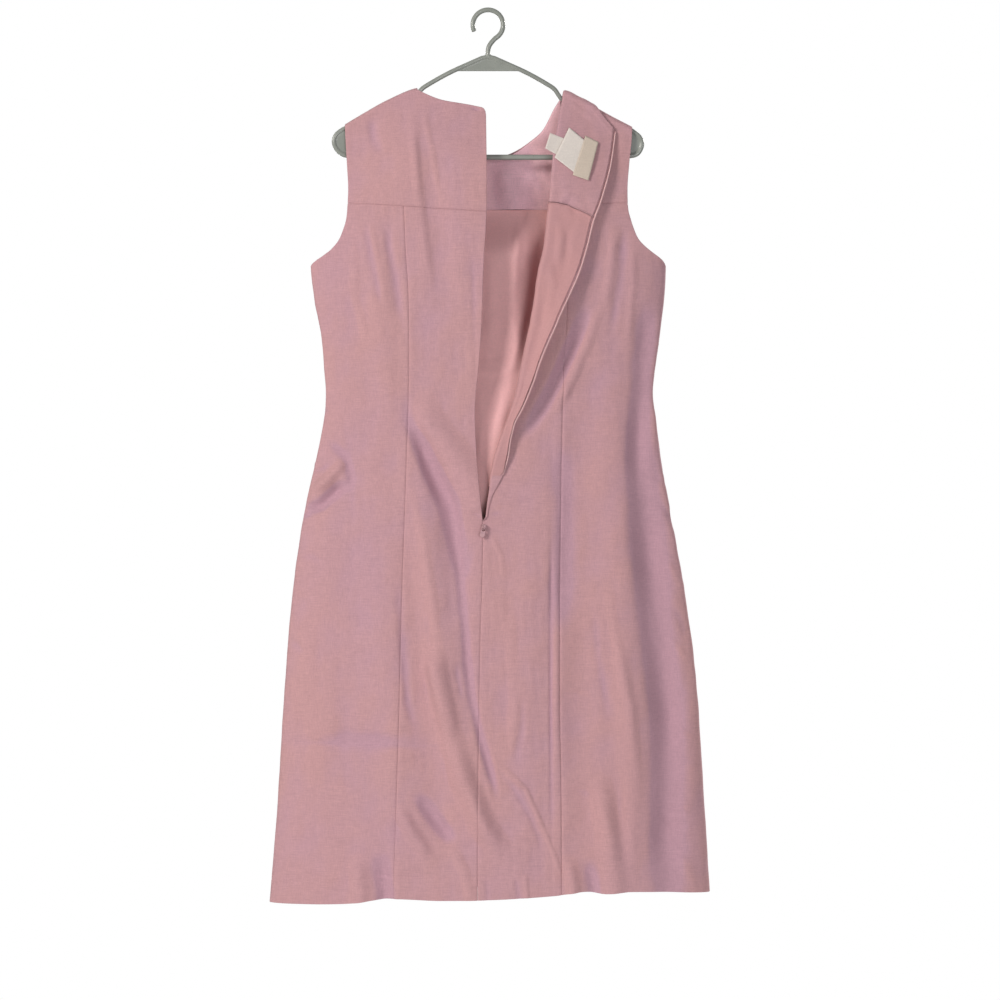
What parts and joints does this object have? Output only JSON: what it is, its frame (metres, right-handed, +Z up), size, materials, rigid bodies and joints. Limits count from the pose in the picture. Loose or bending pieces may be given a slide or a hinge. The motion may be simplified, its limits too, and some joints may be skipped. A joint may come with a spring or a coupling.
{
  "type": "sheath dress on hanger",
  "caption": "Sleeveless fitted sheath dress hung by its shoulders on a moulded hanger, back towards the viewer, centre-back zip open with one edge turned out.",
  "frame": {"origin": "inside of the hanger hook's crown, where a rail or peg holds it", "axes": "+Z up, -Y out of the dress's back, +X to the right seen from the back"},
  "size_m": [0.5725, 0.0917, 1.1621],
  "materials": {
    "outer_cloth": "matt plain weave",
    "lining_cloth": "soft sheen lining",
    "zip_tape": "woven tape with a fine coil",
    "label_beige": "satin woven label, bare",
    "label_white": "smooth printed-tape cloth, bare",
    "pull_metal": "pink lacquered metal",
    "hanger_plastic": "semi-gloss moulded plastic"
  },
  "bodies": {
    "dress": {"back_yoke_left": "outer_cloth", "back_yoke_right": "outer_cloth", "front_yoke": "outer_cloth", "back_centre_left": "outer_cloth", "back_centre_right": "outer_cloth", "front_centre": "outer_cloth", "back_side_left": "outer_cloth", "back_side_right": "outer_cloth", "front_side_left": "outer_cloth", "front_side_right": "outer_cloth", "front_facing": "outer_cloth", "back_facing_right": "outer_cloth", "front_lining": "lining_cloth", "back_lining_right": "lining_cloth", "label_brand": "label_beige", "label_care": "label_white", "label_size": "label_white", "zip_tape_left": "zip_tape", "zip_tape_right": "zip_tape", "zip_slider": "pull_metal", "hanger": "hanger_plastic"},
    "zip_pull": {"zip_pull_tab": "pull_metal"}
  },
  "joints": [
    {"name": "pull_swing", "type": "hinge", "parent": "dress", "child": "zip_pull", "pos_m": [-0.005, -0.0401, -0.669], "axis": [-0.9781, 0, 0.2079], "range_deg": [0, 165]}
  ]
}
